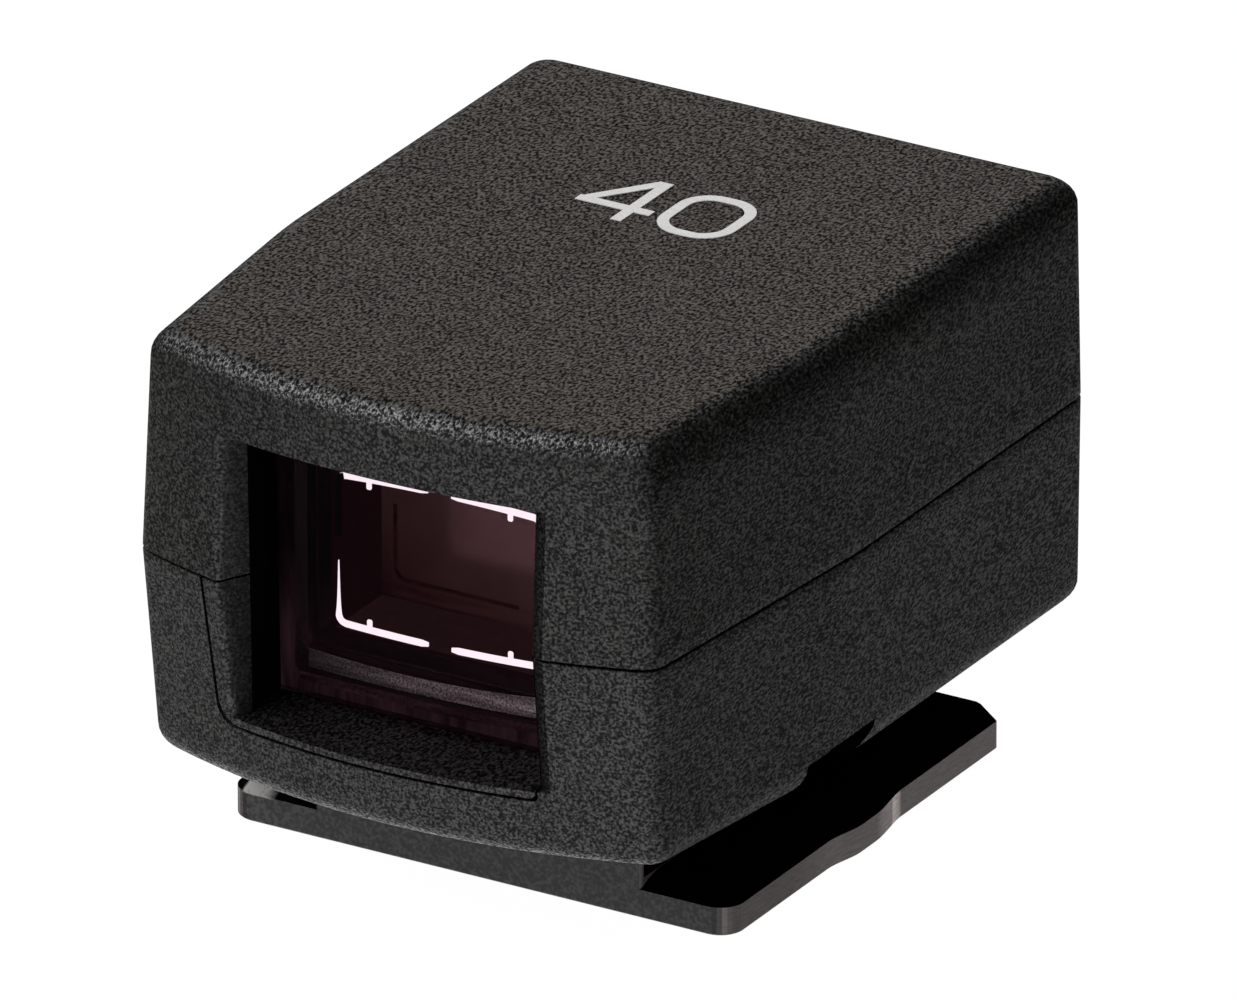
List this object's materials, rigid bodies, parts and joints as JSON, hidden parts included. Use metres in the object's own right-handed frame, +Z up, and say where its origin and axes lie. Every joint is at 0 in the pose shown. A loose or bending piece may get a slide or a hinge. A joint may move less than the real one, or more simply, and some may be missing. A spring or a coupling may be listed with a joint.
{
  "type": "hot-shoe optical viewfinder",
  "caption": "Small rectangular hot-shoe optical viewfinder: two-part housing, curved eyepiece with recessed hood, bright frame lines, lens stack and shoe foot.",
  "frame": {"origin": "centre of the underside of the accessory-shoe foot", "axes": "+Z up, away from the camera; +Y out of the objective, the direction the foot slides into the shoe; the eyepiece faces -Y; +X to the viewer's right"},
  "size_m": [0.0204, 0.0269, 0.0185],
  "materials": {
    "cover": "fine-grained matt black texture",
    "chassis": "matt black moulding",
    "coated_lens": "polished, maroon anti-reflection coating",
    "inner_glass": "thin coated glass",
    "white_print": "bright white line print",
    "grey_print": "pad-printed light grey",
    "seal": "thin black foam",
    "adhesive": "black double-sided film",
    "flock": "black flocked liner",
    "bezel": "satin black",
    "foot": "semi-gloss black moulding",
    "black_metal": "blackened spring sheet",
    "black_screw": "black-oxide steel",
    "steel": "plain steel"
  },
  "bodies": {
    "root": {"top_cover": "cover", "bottom_cover": "cover", "hood_insert": "cover", "lens_tunnel": "chassis", "eyepiece_lens": "coated_lens", "eyepiece_seal": "seal", "frame_line_plate": "inner_glass", "bright_frame_lines": "white_print", "half_mirror_plate": "inner_glass", "mirror_clip": "black_metal", "tunnel_baffle": "black_metal", "objective_lens": "coated_lens", "objective_seal": "seal", "front_bezel": "bezel", "shoe_foot": "foot", "foot_nut_plate": "steel", "foot_screws": "black_screw", "cover_screws": "black_screw", "tunnel_screws": "steel", "top_numerals": "grey_print", "bezel_adhesive": "adhesive", "light_trap_liners": "flock"}
  },
  "joints": []
}
